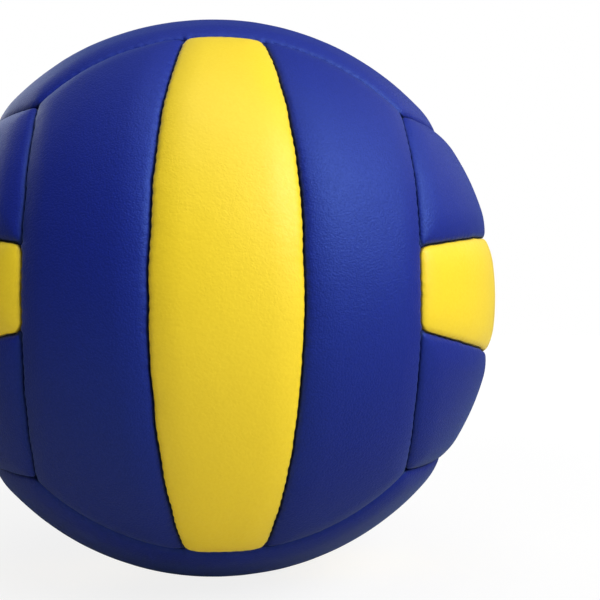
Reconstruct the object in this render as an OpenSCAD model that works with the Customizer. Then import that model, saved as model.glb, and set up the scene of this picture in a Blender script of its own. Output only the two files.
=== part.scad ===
// A stitched indoor volleyball. Eighteen padded panels lie three to a face on six faces, and the
// three strips of a face run across those of the faces beside it. The centre of the ball is the
// origin, each axis passes through the middle of a face, and +Z leaves through the valve.
// Each panel is a leather cover whose edges turn inwards as lips, a foam pad and a cloth lining.
// The lips are sewn together from inside, and a rubber bladder fills the ball.

/* [Ball] */
// Diameter over the crowns of the panels
ball_d = 210; // [200:1:220]
// Width of a middle strip at its middle, measured along the ball
middle_w = 45; // [36:1:56]

/* [Panel layers] */
// Thickness of the leather, and so of a lip
skin_t = 1; // [0.8:0.1:1.3]
// Thickness of the foam pad
foam_t = 3; // [2.6:0.1:4]
// Thickness of the cloth lining
lining_t = 0.5; // [0.4:0.1:1]
// Glue line between two layers
glue_t = 0.15; // [0.1:0.05:0.3]
// Wall of the bladder
bladder_t = 0.8; // [0.6:0.1:1.5]

/* [Seams] */
// Width of the groove between the lips of two panels
seam_gap = 0.8; // [0.6:0.1:1.4]
// Distance from a seam at which a panel starts to round down to it
shoulder_w = 10; // [7:0.5:11]
// Radius of that rounding
shoulder_r = 23; // [21:1:32]
// Depth of the sewing thread below the crowns
thread_depth = 3.7; // [3.2:0.1:4.2]
// Space between the thread and a lip on each side of it
thread_clear = 0.1; // [0.05:0.05:0.2]
// Distance by which a strand of thread stops short of the end of its seam
thread_stop = 1.6; // [1.2:0.1:4]

/* [Valve] */
// Diameter of the rubber boss that shows in the ball's surface
boss_d = 9; // [8:0.5:12]
// Length of the boss and the stem under it
boss_l = 17; // [15:0.5:24]
// Depth of the boss's face below the crown
boss_drop = 0.4; // [0.2:0.1:0.8]
// Chamfer round the boss's face
boss_chamfer = 0.5; // [0.2:0.1:0.8]
// Gap round the boss in the cover, pad, lining, patch and bladder
boss_gap = 0.25; // [0.15:0.05:0.6]
// Diameter of the flange that holds the boss to the bladder
flange_d = 26; // [18:1:40]
// Thickness of that flange
flange_t = 1.2; // [0.8:0.1:2]
// Diameter of the cloth patch that strengthens the lining round the valve
patch_d = 32; // [20:1:40]
// Diameter of the plug's shank
plug_d = 4.6; // [4:0.1:5.4]
// Length of the plug with its head
plug_l = 13; // [10:0.5:13.5]
// Diameter of the plug's head
plug_head_d = 6.4; // [6:0.1:6.8]
// Thickness of the plug's head
plug_head_t = 1.3; // [0.8:0.1:2]
// Gap between the plug and its hole, on each side and under the head
plug_gap = 0.08; // [0.06:0.01:0.15]
// Diameter of the channel that takes the inflating needle
needle_d = 2.3; // [2.1:0.1:2.8]
// Depth of that channel
needle_depth = 8; // [5:0.5:9]
// Width of the bevel that leads the needle in
needle_bevel = 0.5; // [0.2:0.1:1]

/* [Hidden] */
blue = [0.13, 0.2, 0.55];
yellow = [0.93, 0.81, 0.2];
foam_white = [0.93, 0.93, 0.9];
cloth_grey = [0.78, 0.78, 0.76];
thread_navy = [0.06, 0.08, 0.2];
rubber_black = [0.08, 0.08, 0.09];
plug_cream = [0.86, 0.83, 0.7];
$fn = 96;

// What a cut runs past the face that it opens
overrun = 1;
ball_r = ball_d / 2;
// A half space or a cone this long reaches past the ball
reach = ball_d;
// Angle between a face's axis and each long seam round it, so that three long seams meet in a corner
seam_angle = acos(1 / sqrt(3));
// Angle by which an inner seam leans off the middle of its face
inner_angle = middle_w / 2 / ball_r * 180 / PI;
// Slope at which a panel's rounding leaves the crown
shoulder_slope = 3;
// Half the arc of a long seam and of an inner seam, from corner to corner about their own axes
long_arc = 45;
inner_arc = acos(cos(seam_angle) / cos(inner_angle));
// Half the arc of the end of a middle strip, with room past its corners
middle_arc = 20;
// What the cutter of a rounding runs past a corner
arc_spare = 4;
half_gap = seam_gap / 2;
lining_depth = skin_t + foam_t + 2 * glue_t;
cover_depth = lining_depth + lining_t;
pocket_inset = half_gap + skin_t;
pad_inset = pocket_inset + glue_t;
bladder_r = ball_r - cover_depth - glue_t;
flange_r = bladder_r - bladder_t - glue_t;
thread_r = ball_r - thread_depth;
thread_d = seam_gap - 2 * thread_clear;
boss_top = ball_r - boss_drop;
boss_hole_d = boss_d + 2 * boss_gap;

// Each panel's name, its face, and its place there: 0 for the middle strip, 1 and -1 for the outer ones
PANELS = [
    ["front_left", "front", -1], ["front_middle", "front", 0], ["front_right", "front", 1],
    ["back_left", "back", 1], ["back_middle", "back", 0], ["back_right", "back", -1],
    ["left_lower", "left", -1], ["left_middle", "left", 0], ["left_upper", "left", 1],
    ["right_lower", "right", -1], ["right_middle", "right", 0], ["right_upper", "right", 1],
    ["top_back", "top", -1], ["top_middle", "top", 0], ["top_front", "top", 1],
    ["bottom_back", "bottom", -1], ["bottom_middle", "bottom", 0], ["bottom_front", "bottom", 1],
];
FACES = ["front", "back", "left", "right", "top", "bottom"];
VALVE_PANEL = "top_middle";

// Turns what is drawn on the front face, which looks along -Y, onto the face that is named
module on_face(face) {
    if (face == "front") children();
    if (face == "back") rotate([0, 0, 180]) children();
    if (face == "right") rotate(a = 120, v = [1, -1, 1]) children();
    if (face == "left") rotate([0, 0, 180]) rotate(a = 120, v = [1, -1, 1]) children();
    if (face == "top") rotate(a = -120, v = [1, -1, 1]) children();
    if (face == "bottom") rotate([0, 180, 0]) rotate(a = -120, v = [1, -1, 1]) children();
}

// Turns the front face's right strip into the strip at this place on its face
module at_place(place) {
    rotate([0, place < 0 ? 180 : 0, 0]) children();
}

// Turns a shape made about +Z so that it lies about the front face's axis, -Y
module about_face() {
    rotate([90, 0, 0]) children();
}

// Turns a shape made about +Z so that it lies about +X, the axis of the long seam on the right
module about_long_seam() {
    rotate([0, 90, 0]) children();
}

// Turns a shape made about +Z so that it lies about the axis of the inner seam on the right
module about_inner_seam() {
    rotate([0, 0, inner_angle]) rotate([0, 90, 0]) children();
}

// Everything inside a long seam, as seen from the centre, with its wall moved outwards by shift
module seam_cone(shift) {
    translate([0, 0, -shift / sin(seam_angle)])
        cylinder(h = reach, r1 = 0, r2 = reach * tan(seam_angle));
}

// Everything past an inner seam, which lies in a plane through the centre, from shift onwards
module seam_half_space(shift) {
    translate([-reach, -reach, shift]) cube([2 * reach, 2 * reach, reach]);
}

// The cutter above a panel's rounding: side is 1 where the panel lies nearer to the seam's axis than
// the seam does, and -1 where it lies further from it. A depth gives the same rounding further down.
// It follows the seam for half_arc degrees each way.
module shoulder_cut(angle, side, depth, half_arc) {
    start = angle - side * shoulder_w / ball_r * 180 / PI;
    lead = shoulder_r * sin(shoulder_slope);
    run = shoulder_w + overrun;
    rotate_extrude(angle = 2 * half_arc, start = -90 - half_arc)
        translate([ball_r * sin(start), ball_r * cos(start)])
            rotate(-start)
                difference() {
                    translate([side > 0 ? -lead : -run, -shoulder_r])
                        square([lead + run, shoulder_r + overrun]);
                    translate([-side * lead, -shoulder_r * cos(shoulder_slope)])
                        circle(r = shoulder_r - depth);
                }
}

// A middle strip as a plain block, from this depth down to the radius inner_r
module middle_slab(inset, depth, inner_r) {
    difference() {
        intersection() {
            sphere(r = ball_r - depth);
            about_face() seam_cone(-inset);
        }
        sphere(r = inner_r);
        for (turn = [0, 180]) rotate([0, turn, 0]) about_inner_seam() seam_half_space(-inset);
    }
}

// The same block with its four sides rounded down
module middle_block(inset, depth, inner_r) {
    difference() {
        difference() {
            middle_slab(inset, depth, inner_r);
            for (turn = [0, 180]) rotate([0, turn, 0])
                about_inner_seam() shoulder_cut(90, -1, depth, inner_arc + arc_spare);
        }
        for (turn = [0, 180]) rotate([0, turn, 0])
            about_face() shoulder_cut(seam_angle, 1, depth, middle_arc);
    }
}

// An outer strip, the one on the right of the front face, as a plain block
module outer_slab(inset, depth, inner_r) {
    difference() {
        intersection() {
            sphere(r = ball_r - depth);
            about_face() seam_cone(-inset);
            about_inner_seam() seam_half_space(inset);
        }
        sphere(r = inner_r);
        about_long_seam() seam_cone(inset);
    }
}

// The same block with its four sides rounded down
module outer_block(inset, depth, inner_r) {
    difference() {
        difference() {
            difference() {
                outer_slab(inset, depth, inner_r);
                about_inner_seam() shoulder_cut(90, 1, depth, inner_arc + arc_spare);
            }
            about_long_seam() shoulder_cut(seam_angle, -1, depth, long_arc + arc_spare);
        }
        for (turn = [0, 180]) rotate([0, turn, 0])
            about_face() shoulder_cut(seam_angle, 1, depth, long_arc + arc_spare);
    }
}

// The plain block of the panel at this place on its face
module panel_slab(place, inset, depth, inner_r) {
    if (place == 0)
        middle_slab(inset, depth, inner_r);
    else
        at_place(place) outer_slab(inset, depth, inner_r);
}

// The rounded block of the panel at this place on its face
module panel_block(place, inset, depth, inner_r) {
    if (place == 0)
        middle_block(inset, depth, inner_r);
    else
        at_place(place) outer_block(inset, depth, inner_r);
}

// A round hole down the valve's axis
module valve_hole(d) {
    cylinder(h = reach, d = d);
}

// Leather with its four edges turned inwards
module panel_cover(panel) {
    color(panel[2] == 0 ? yellow : blue) difference() {
        on_face(panel[1]) difference() {
            panel_block(panel[2], half_gap, 0, ball_r - cover_depth);
            panel_block(panel[2], pocket_inset, skin_t, ball_r - cover_depth - overrun);
        }
        if (panel[0] == VALVE_PANEL) valve_hole(boss_hole_d);
    }
}

// Foam pad between the lips
module panel_foam(panel) {
    color(foam_white) difference() {
        on_face(panel[1])
            panel_block(panel[2], pad_inset, skin_t + glue_t, ball_r - skin_t - foam_t - glue_t);
        if (panel[0] == VALVE_PANEL) valve_hole(boss_hole_d);
    }
}

// Cloth that backs the pad
module panel_lining(panel) {
    color(cloth_grey) difference() {
        on_face(panel[1])
            panel_slab(panel[2], pad_inset, lining_depth, ball_r - cover_depth);
        if (panel[0] == VALVE_PANEL) valve_hole(patch_d + 2 * glue_t);
    }
}

// One strand of thread along a seam, from the middle of the seam to half_arc degrees on each side
module strand(angle, half_arc) {
    stop = thread_stop / (thread_r * sin(angle)) * 180 / PI;
    rotate_extrude(angle = 2 * (half_arc - stop), start = stop - half_arc - 90)
        translate([thread_r * sin(angle), thread_r * cos(angle)]) circle(d = thread_d, $fn = 24);
}

// The sewing: each face has a long seam on both sides and two inner seams
module seam_thread() {
    color(thread_navy) for (face = FACES, place = [-1, 1]) on_face(face) at_place(place) {
        about_long_seam() strand(seam_angle, long_arc);
        about_inner_seam() strand(90, inner_arc);
    }
}

// Rubber ball that holds the air
module bladder() {
    color(rubber_black) difference() {
        sphere(r = bladder_r);
        sphere(r = bladder_r - bladder_t);
        valve_hole(boss_hole_d);
    }
}

// Ring of cloth let into the lining round the valve
module valve_patch() {
    color(cloth_grey) difference() {
        intersection() {
            sphere(r = ball_r - lining_depth);
            valve_hole(patch_d);
        }
        sphere(r = ball_r - cover_depth);
        valve_hole(boss_hole_d);
    }
}

// Boss and stem that hold the plug, with a flange bonded inside the bladder
module valve_housing() {
    color(rubber_black) difference() {
        union() {
            translate([0, 0, boss_top - boss_l]) cylinder(h = boss_l - boss_chamfer, d = boss_d);
            translate([0, 0, boss_top - boss_chamfer])
                cylinder(h = boss_chamfer, d1 = boss_d, d2 = boss_d - 2 * boss_chamfer);
            difference() {
                intersection() {
                    sphere(r = flange_r);
                    valve_hole(flange_d);
                }
                sphere(r = flange_r - flange_t);
            }
        }
        translate([0, 0, boss_top - plug_l - plug_gap])
            cylinder(h = plug_l + plug_gap + overrun, d = plug_d + 2 * plug_gap);
        translate([0, 0, boss_top - plug_head_t - plug_gap])
            cylinder(h = plug_head_t + plug_gap + overrun, d = plug_head_d + 2 * plug_gap);
    }
}

// Soft plug that takes the needle and pulls out when it is replaced
module valve_plug() {
    color(plug_cream) translate([0, 0, boss_top]) difference() {
        union() {
            translate([0, 0, -plug_l]) cylinder(h = plug_l - plug_head_t / 2, d = plug_d);
            translate([0, 0, -plug_head_t]) cylinder(h = plug_head_t, d = plug_head_d);
        }
        translate([0, 0, -needle_depth]) cylinder(h = needle_depth + overrun, d = needle_d);
        translate([0, 0, -needle_bevel])
            cylinder(h = 2 * needle_bevel, d1 = needle_d, d2 = needle_d + 4 * needle_bevel);
    }
}

for (p = PANELS) panel_cover(p);
for (p = PANELS) panel_foam(p);
for (p = PANELS) panel_lining(p);
seam_thread();
bladder();
valve_patch();
valve_housing();
valve_plug();
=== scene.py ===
# %% [markdown]
# # A stitched volleyball, dressed in Blender
#
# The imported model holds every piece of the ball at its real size: eighteen leather covers with a
# foam pad and a cloth lining under each, the sewing, the bladder and the valve. This notebook gives
# those pieces their finished surfaces. Everything is in metres, with the centre of the ball at the
# origin and the valve at the top, on +Z.

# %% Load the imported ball
import math

import bmesh
import bpy
import numpy as np
from mathutils import Matrix, Vector


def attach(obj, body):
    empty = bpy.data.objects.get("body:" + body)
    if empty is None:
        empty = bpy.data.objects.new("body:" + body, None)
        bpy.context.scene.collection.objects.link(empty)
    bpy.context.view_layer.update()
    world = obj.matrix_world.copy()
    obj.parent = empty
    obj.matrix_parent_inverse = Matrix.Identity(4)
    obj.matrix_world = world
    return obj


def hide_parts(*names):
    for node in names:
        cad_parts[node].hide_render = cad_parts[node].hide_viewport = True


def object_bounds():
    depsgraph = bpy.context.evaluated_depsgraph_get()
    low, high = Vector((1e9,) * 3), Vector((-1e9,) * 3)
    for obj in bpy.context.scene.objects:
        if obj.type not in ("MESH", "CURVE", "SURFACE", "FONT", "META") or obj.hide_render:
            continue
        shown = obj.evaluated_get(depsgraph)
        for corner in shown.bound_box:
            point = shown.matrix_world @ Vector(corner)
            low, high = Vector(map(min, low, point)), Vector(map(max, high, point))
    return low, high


MM = 0.001

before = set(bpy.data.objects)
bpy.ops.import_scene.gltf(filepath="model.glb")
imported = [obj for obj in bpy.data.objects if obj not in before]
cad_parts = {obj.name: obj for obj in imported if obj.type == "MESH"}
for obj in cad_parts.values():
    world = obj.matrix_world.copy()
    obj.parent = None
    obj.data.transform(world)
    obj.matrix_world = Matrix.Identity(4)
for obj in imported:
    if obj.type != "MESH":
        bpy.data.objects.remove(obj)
cad_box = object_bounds()
ball_r = (cad_box[1].z - cad_box[0].z) / 2
print("Ball of", round(2 * ball_r / MM), "mm with", len(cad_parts), "pieces")

# %% [markdown]
# ## The camera
#
# The photograph was taken from close by, so the ball bulges towards the lens and shows less than
# half of itself. Its camera stands a little over three ball radii away, slightly to the left of the
# front face, and the ball's centre falls left of the middle of the picture. Turning the camera, and
# not shifting its lens, is what moves the ball to that side, so the same is done here.

# %% Camera
PHOTO_SIZE = 600
BALL_CENTRE_PIXEL = (222.0, 297.2)
FOCAL_PIXELS = 868
CAMERA_DISTANCE = 3.27 * ball_r
SENSOR_WIDTH = 36
CLIP_START = 10 * MM
BALL_TURN, BALL_ROLL, BALL_NOD = math.radians(5.95), math.radians(-0.16), math.radians(-1.63)


def make_camera():
    sight = Matrix.Rotation(BALL_NOD, 3, "X") @ Matrix.Rotation(BALL_ROLL, 3, "Y")
    sight = sight @ Matrix.Rotation(BALL_TURN, 3, "Z")
    middle = PHOTO_SIZE / 2
    ray = Vector((BALL_CENTRE_PIXEL[0] - middle, FOCAL_PIXELS, middle - BALL_CENTRE_PIXEL[1])).normalized()
    right, ahead, up = sight.transposed().col
    camera = bpy.data.objects.new("camera", bpy.data.cameras.new("camera"))
    bpy.context.scene.collection.objects.link(camera)
    camera.data.sensor_width = SENSOR_WIDTH
    camera.data.lens = SENSOR_WIDTH * FOCAL_PIXELS / PHOTO_SIZE
    camera.data.clip_start = CLIP_START
    turn = Matrix((right, up, -ahead)).transposed().to_4x4()
    camera.matrix_world = Matrix.Translation(-(sight.transposed() @ ray) * CAMERA_DISTANCE) @ turn
    bpy.context.scene.camera = camera
    return camera


camera = make_camera()
print("Camera", round(camera.location.length / MM), "mm from the ball's centre")

# %% [markdown]
# ## The layout of the panels
#
# The ball is a cube blown up into a sphere. Each of its six faces carries three strips, and the
# strips of one face run across those of the faces beside it. So only two shapes are needed, a middle
# strip and an outer one, and turns of the front face put them in their eighteen places. A seam is a
# circle on the ball, which makes the distance from any point to a seam a simple formula.

# %% Sizes of the layout
MIDDLE_WIDTH = 45 * MM
SEAM_GAP = 0.8 * MM
GROOVE = 0.42 * MM
SKIN = 1.0 * MM
FOAM = 3.0 * MM
CLOTH = 0.5 * MM
GLUE = 0.15 * MM
PAD_DEPTH = SKIN + GLUE
LINING_DEPTH = PAD_DEPTH + FOAM + GLUE
COVER_DEPTH = LINING_DEPTH + CLOTH
THREAD_DEPTH = 3.7 * MM
COSINE = 1 / math.sqrt(3)
SEAM_SHARE = math.sqrt(2 / 3)
LEAN = MIDDLE_WIDTH / 2 / ball_r
INNER_ARC = math.acos(COSINE / math.cos(LEAN))
LONG_ARC = math.radians(45)
CORNER_ARC = math.atan2(math.sin(LEAN) * math.cos(INNER_ARC), math.sin(INNER_ARC))

STRIPS = {
    "front": ("left", "middle", "right"),
    "back": ("right", "middle", "left"),
    "left": ("lower", "middle", "upper"),
    "right": ("lower", "middle", "upper"),
    "top": ("back", "middle", "front"),
    "bottom": ("back", "middle", "front"),
}
DIAGONAL = Vector((1, -1, 1))
THIRD_TURN = math.radians(120)
HALF_ABOUT_Z = Matrix.Rotation(math.pi, 3, "Z")
HALF_ABOUT_Y = Matrix.Rotation(math.pi, 3, "Y")
FACE_TURNS = {
    "front": Matrix.Identity(3),
    "back": HALF_ABOUT_Z,
    "right": Matrix.Rotation(THIRD_TURN, 3, DIAGONAL),
    "left": HALF_ABOUT_Z @ Matrix.Rotation(THIRD_TURN, 3, DIAGONAL),
    "top": Matrix.Rotation(-THIRD_TURN, 3, DIAGONAL),
    "bottom": HALF_ABOUT_Y @ Matrix.Rotation(-THIRD_TURN, 3, DIAGONAL),
}


def panel_turn(face, place):
    """The turn that brings the front face's right or middle strip to its place on the ball."""
    turn = FACE_TURNS[face]
    return turn @ HALF_ABOUT_Y if place < 0 else turn


PANELS = [(f"{face}_{strip}", face, place)
          for face, strips in STRIPS.items() for place, strip in zip((-1, 0, 1), strips)]
VALVE_PANEL = "top_middle"
print(len(PANELS), "panels, an inner seam is", round(2 * INNER_ARC * ball_r / MM), "mm long")

# %% [markdown]
# ## A strip as a patch of the ball
#
# A strip lies between four seams. A Coons patch fills the space between four curves: it adds the
# blend of the two sides to the blend of the two ends, and takes away what both have in common. The
# lines of the patch crowd together beside the seams, where the leather rolls over, and spread out
# on the crown, where little happens.

# %% Rays between four seams
SHOULDER = 10 * MM
EDGE_STEPS = np.array([0, 0.06, 0.16, 0.3, 0.48, 0.72, 1.05, 1.5, 2.1, 2.9, 3.9, 5.2, 6.8, 8.4, 10]) * MM
COARSE_STEPS = np.array([0, 0.5, 1.4, 2.8, 5.5, 10]) * MM
SPACING_ROUNDS = 3
MIDDLE_GRID, OUTER_GRID = (20, 230), (24, 200)
COARSE_MIDDLE_GRID, COARSE_OUTER_GRID = (10, 72), (10, 60)
TINY = 1e-9


def on_circle(across, along, height):
    """Unit rays with these components to the right, up and towards the front."""
    return np.stack([across, -height, along], axis=-1)


def strip_seams(place):
    """The strip's two side curves and its end curve on the front face, each for shares from 0 to 1."""
    def inner(share, lean):
        arc = (2 * share - 1) * INNER_ARC
        return on_circle(np.sin(lean) * np.cos(arc), np.sin(arc), np.cos(lean) * np.cos(arc))

    def outer(share):
        arc = (2 * share - 1) * LONG_ARC
        return on_circle(np.full_like(arc, COSINE), SEAM_SHARE * np.sin(arc), SEAM_SHARE * np.cos(arc))

    def end(share):
        first, last = (-CORNER_ARC, CORNER_ARC) if place == 0 else (CORNER_ARC, LONG_ARC)
        arc = first + (last - first) * share
        return on_circle(SEAM_SHARE * np.sin(arc), SEAM_SHARE * np.cos(arc), np.full_like(arc, COSINE))

    if place == 0:
        return (lambda v: inner(v, -LEAN)), (lambda v: inner(v, LEAN)), end
    return (lambda v: inner(v, LEAN)), outer, end


def unit(points):
    return points / np.maximum(np.linalg.norm(points, axis=-1, keepdims=True), TINY)


def coons(place, u, v):
    """Rays of the patch: u runs from the left side to the right one, v from the lower end to the upper."""
    left, right, end = strip_seams(place)
    down = np.array([1.0, 1.0, -1.0])
    u3, v3 = u[..., None], v[..., None]
    sides = (1 - u3) * left(v) + u3 * right(v)
    ends = (1 - v3) * end(u) * down + v3 * end(u)
    zero, one = np.zeros(1), np.ones(1)
    corners = ((1 - u3) * (1 - v3) * end(zero) * down + u3 * (1 - v3) * end(one) * down
               + (1 - u3) * v3 * end(zero) + u3 * v3 * end(one))
    return unit(sides + ends - corners)


def crowded(count, length, steps):
    """Shares along a line of this length, crowded at both ends, with count even steps between them."""
    near = steps[:, None] / length[None, :]
    even = np.linspace(0, 1, count + 1)[1:-1, None]
    between = near[-1] + even * (1 - 2 * near[-1])
    return np.concatenate([near, between, 1 - near[::-1]])


def patch_rays(place, grid, steps=EDGE_STEPS):
    """Rays for one strip, indexed by row and column."""
    columns, rows = grid
    lines = 2 * len(steps) + rows - 1
    posts = 2 * len(steps) + columns - 1
    v = np.repeat(np.linspace(0, 1, lines)[:, None], posts, axis=1)
    left, right, _ = strip_seams(place)
    right_arc = SEAM_SHARE * LONG_ARC if place else INNER_ARC
    for _ in range(SPACING_ROUNDS):
        middle = v[:, posts // 2]
        width = ball_r * np.arccos(np.clip((left(middle) * right(middle)).sum(-1), -1, 1))
        u = crowded(columns, width, steps).T
        u_mean = u.mean(0)
        length = 2 * ball_r * ((1 - u_mean) * INNER_ARC + u_mean * right_arc)
        v = crowded(rows, length, steps)
    return coons(place, u, v)


sample = patch_rays(0, MIDDLE_GRID)
print("A middle strip has", sample.shape[0], "rows of", sample.shape[1], "points")

# %% [markdown]
# ## Where the leather turns down
#
# Every point needs to know how near it is to a seam. The share of the shoulder that it has crossed
# is 0 on the crown and 1 on the seam. At a corner two shoulders meet, and real leather rounds the
# corner off, so there the two shares are drawn onto a superellipse, which rounds the outline and
# keeps each line of equal share smooth. Where a middle strip's corner is rounded off like this, the
# two panels beside it are pressed into the space that it leaves, so no hole opens in the ball.

# %% Shares of the shoulder
CORNER_POWER = {0: 7.0, 1: 10.0}
STITCH_PITCH = 3.4 * MM
SLACK_LENGTH = 17 * MM
TIGHT_MEAN = 0.6
TIGHT_SWING = 0.4
NIP_POWER = 12
SOFT_POWER = 8.0
LEAN_RISE = 4
LEAST_SPREAD = 0.1
CORNER_PLACE = ball_r * SEAM_SHARE * CORNER_ARC


def seam_planes(place):
    """The normal and offset of the plane of each side seam, and of the end seams, facing inwards."""
    left = np.array([math.cos(LEAN), -math.sin(LEAN), 0])
    right = np.array([-math.cos(LEAN), -math.sin(LEAN), 0])
    ends = (np.array([0, -1.0, 0]), COSINE)
    if place == 0:
        return [(left, 0.0), (right, 0.0)], ends
    return [(np.array([math.cos(LEAN), math.sin(LEAN), 0]), 0.0), (np.array([-1.0, 0, 0]), -COSINE)], ends


def seam_distance(rays, plane):
    normal, offset = plane
    return ball_r * (np.arcsin(np.clip(rays @ normal, -1, 1)) - math.asin(offset))


def away_from(rays, plane):
    """The direction on the ball in which the distance from a seam grows."""
    normal = plane[0]
    return unit(normal - (rays @ normal)[..., None] * rays)


def corner_loss(share):
    """How far the rounded corner of a middle strip leaves one seam, at this share of the other one."""
    power = CORNER_POWER[0]
    return SHOULDER * (1 - (1 + share ** power) ** (-1 / power))


def filling(rays, second, b, end_gap):
    """How far the side of an outer strip is pressed out into the space at a middle strip's corner."""
    beyond = CORNER_PLACE - np.abs(ball_r * SEAM_SHARE * np.arctan2(rays[..., 2], -rays[..., 1]))
    crossing = np.minimum(corner_loss(np.clip(1 - beyond / SHOULDER, 0, 1)), np.maximum(beyond, 0))
    return np.where(second, crossing, np.minimum(corner_loss(b), end_gap))


def seam_arcs(rays, place, second):
    """How far along its side seam, and along its end seam, a point lies from that seam's middle."""
    x, y, z = rays[..., 0], rays[..., 1], rays[..., 2]
    inner = ball_r * np.arcsin(z)
    long = ball_r * SEAM_SHARE * np.arctan2(z, -y)
    side = inner if place == 0 else np.where(second, long, inner)
    return side, ball_r * SEAM_SHARE * np.arctan2(x, np.abs(z))


def nipped(inset, nip, arc, share):
    """The inset of a line of equal share, which grows by up to nip at each stitch beside the edge."""
    tightness = TIGHT_MEAN + TIGHT_SWING * np.sin(arc / SLACK_LENGTH)
    at_stitch = (0.5 + 0.5 * np.cos(math.tau * arc / STITCH_PITCH)) ** 2
    return inset + nip * tightness * at_stitch * share ** NIP_POWER


def on_superellipse(a, b, power):
    """Joins two shares into one, which is the larger of them away from the corner."""
    return (a ** power + b ** power) ** (1 / power)


def draw_in(rays, place, inset, nip=0.0):
    """Rounds the corners, draws the outline in by inset, and returns the rays with their facts."""
    sides, ends = seam_planes(place)
    distances = [seam_distance(rays, side) for side in sides]
    second = distances[1] < distances[0]
    side_gap = np.where(second, distances[1], distances[0])
    end_gap = seam_distance(rays, ends)
    a = np.clip(1 - side_gap / SHOULDER, 0, 1)
    b = np.clip(1 - end_gap / SHOULDER, 0, 1)
    power = CORNER_POWER[abs(place)]
    longest = np.maximum(a, b)
    shrink = longest / np.maximum(on_superellipse(a, b, power), TINY)
    if place:
        shrink = np.where(second, shrink, 1)
        longest = np.where(second, longest, np.minimum(on_superellipse(a, b, SOFT_POWER), 1))
    side_arc, end_arc = seam_arcs(rays, place, second)
    side_inset = nipped(inset, nip, side_arc, a)
    end_inset = nipped(inset, nip, end_arc, b)
    side_move = np.where(a > 0, SHOULDER - (SHOULDER - side_inset) * a * shrink - side_gap, 0)
    end_move = np.where(b > 0, SHOULDER - (SHOULDER - end_inset) * b * shrink - end_gap, 0)
    if place:
        side_move = side_move - filling(rays, second, b, end_gap) * a ** 2
    side_way = np.where(second[..., None], away_from(rays, sides[1]), away_from(rays, sides[0]))
    end_way = away_from(rays, ends)
    lean = (side_way * end_way).sum(-1) * np.clip(LEAN_RISE * a, 0, 1) * np.clip(LEAN_RISE * b, 0, 1)
    spread = np.maximum(1 - lean ** 2, LEAST_SPREAD)
    along_side = (side_move - lean * end_move) / spread
    along_end = (end_move - lean * side_move) / spread
    moved = unit(rays + (along_side[..., None] * side_way + along_end[..., None] * end_way) / ball_r)
    return moved, longest, a, b, second


rays, share, *_ = draw_in(sample, 0, GROOVE / 2)
print("Widest gap left at a corner:", round(float(ball_r * (1 - rays[0, 0] @ sample[0, 0])) / MM, 2), "mm")

# %% [markdown]
# ## The base mesh of a panel
#
# The mesh of a panel is its patch with a wall hanging from the outline, which is the lip that is
# sewn to the next panel. Its points still lie as plain rays: the facts that shape them are stored as
# attributes, and Geometry Nodes read those in the next step. The panel's own flat coordinates go
# into its UV map, because a crease in leather follows the strip and not the ball.

# %% Base mesh
LIP_WIDTH = 2.0 * MM
LIP_DROP = 0.9 * MM
CROWN_DROP = 1.5 * MM
WALL_STEPS = (0.35, 0.7, 1.0)
GUARD_RISE = 5
FACTS = ("share", "depth", "arc", "guard", "across", "along")
STITCH_NIP = 0.14 * MM


def lip_depth(share, inset):
    """Depth below the shoulder of the edge, which rolls over as a quarter of an ellipse."""
    near = np.clip(1 - (1 - share) * (SHOULDER - inset) / LIP_WIDTH, 0, 1)
    return LIP_DROP * (1 - np.sqrt(1 - near ** 2))


def outline(lines, posts):
    """Indices of the grid's border, once round, anticlockwise as seen from outside."""
    index = np.arange(lines * posts).reshape(lines, posts)
    return np.concatenate([index[0, :-1], index[:-1, -1], index[-1, :0:-1], index[:0:-1, 0]])


def grid_faces(lines, posts):
    index = np.arange(lines * posts).reshape(lines, posts)
    return np.stack([index[:-1, :-1], index[:-1, 1:], index[1:, 1:], index[1:, :-1]], -1).reshape(-1, 4)


def wall_faces(border, first, steps):
    """Faces of the wall under a border, whose new rings of points start at the index first."""
    rings = [border] + [first + step * len(border) + np.arange(len(border)) for step in range(steps)]
    faces = []
    for above, below in zip(rings, rings[1:]):
        faces.append(np.stack([np.roll(above, -1), above, below, np.roll(below, -1)], -1))
    return np.concatenate(faces)


def strip_facts(place, grid, inset, nip=0.0, steps=EDGE_STEPS):
    """The rays of one strip and what the later steps need to know of each of them."""
    rays, share, a, b, second = draw_in(patch_rays(place, grid, steps), place, inset, nip)
    side_arc, end_arc = seam_arcs(rays, place, second)
    latitude = np.arcsin(rays[..., 2])
    middle = 0 if place == 0 else (LEAN + math.asin(COSINE)) / 2
    longitude = np.arctan2(rays[..., 0], -rays[..., 1]) - middle
    return {
        "ray": rays,
        "share": share,
        "depth": lip_depth(share, inset),
        "arc": np.where(a >= b, side_arc, end_arc),
        "guard": np.clip(np.abs(a - b) * GUARD_RISE, 0, 1),
        "across": ball_r * longitude * np.cos(latitude),
        "along": ball_r * latitude,
    }


def hang_wall(facts, border):
    """Copies the border's facts once for each step of the wall, deeper each time."""
    flat = {name: value.reshape(-1, 3) if name == "ray" else value.ravel() for name, value in facts.items()}
    hung = {name: [value] for name, value in flat.items()}
    wall = COVER_DEPTH - CROWN_DROP - LIP_DROP
    for step in WALL_STEPS:
        for name, value in flat.items():
            hung[name].append(value[border])
        hung["depth"][-1] = np.full(len(border), LIP_DROP + step * wall)
    return {name: np.concatenate(parts) for name, parts in hung.items()}


middle_facts = strip_facts(0, MIDDLE_GRID, GROOVE / 2, STITCH_NIP)
outer_facts = strip_facts(1, OUTER_GRID, GROOVE / 2, STITCH_NIP)
print("Deepest point of the rounded edge:", round(float(middle_facts["depth"].max()) / MM, 2), "mm")

# %% [markdown]
# The valve needs a round hole in one panel. A square block of the grid is taken out, and the points
# round it are eased from a square onto circles, so the hole has an even rim and no sliver faces.

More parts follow.
